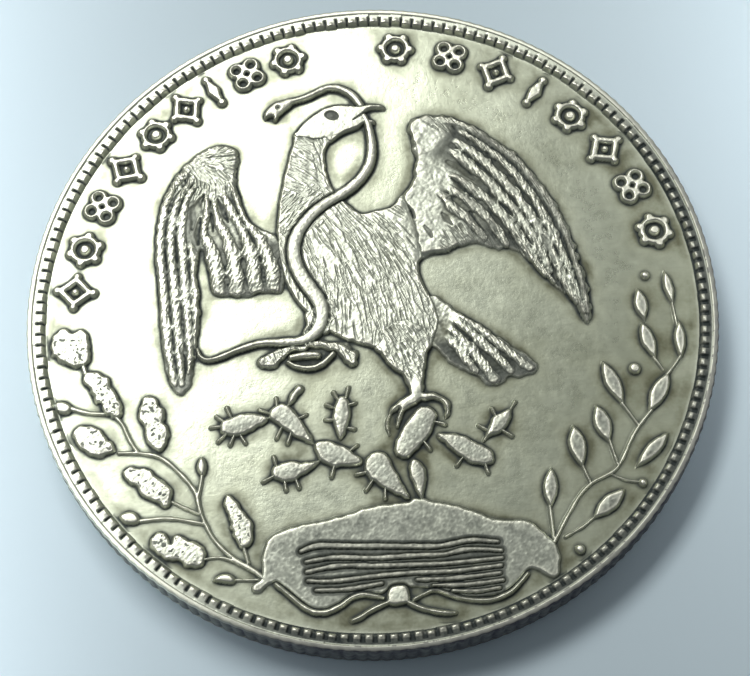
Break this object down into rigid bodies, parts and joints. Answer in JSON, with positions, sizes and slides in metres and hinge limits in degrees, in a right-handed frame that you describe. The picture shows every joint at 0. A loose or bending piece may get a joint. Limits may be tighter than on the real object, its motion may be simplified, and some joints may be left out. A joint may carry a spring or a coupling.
{
  "type": "challenge coin",
  "caption": "Round struck medal coin in antiqued silver finish with an eagle device, wreath, ornament border, toothed rims and a reeded edge.",
  "frame": {"origin": "centre of the coin on the plane of the back rim's face, so the coin lies on z = 0", "axes": "+Z out of the front (device) side, +Y to the top of the design, +X to the design's right"},
  "size_m": [0.039, 0.039, 0.0026],
  "materials": {
    "silver_field": "antiqued silver plate with dark patina in the recesses",
    "silver_relief": "antiqued silver plate, rubbed bright on the high points",
    "silver_edge": "antiqued silver plate, reeded"
  },
  "bodies": {
    "root": {"planchet": "silver_field", "reeded_edge": "silver_edge", "front_rim": "silver_edge", "front_teeth": "silver_relief", "back_rim": "silver_edge", "back_teeth": "silver_relief", "ornaments_left": "silver_relief", "ornaments_right": "silver_relief", "eagle_body": "silver_relief", "eagle_head": "silver_relief", "left_wing": "silver_relief", "right_wing": "silver_relief", "tail": "silver_relief", "perched_leg": "silver_relief", "raised_leg": "silver_relief", "snake": "silver_relief", "cactus_pads": "silver_relief", "cactus_spines": "silver_relief", "mound": "silver_relief", "water_lines": "silver_relief", "ribbon": "silver_relief", "oak_stems": "silver_relief", "oak_leaves": "silver_relief", "acorns": "silver_relief", "laurel_stems": "silver_relief", "laurel_leaves": "silver_relief", "berries": "silver_relief", "back_boss": "silver_relief", "back_rays": "silver_relief", "back_beads": "silver_relief"}
  },
  "joints": []
}
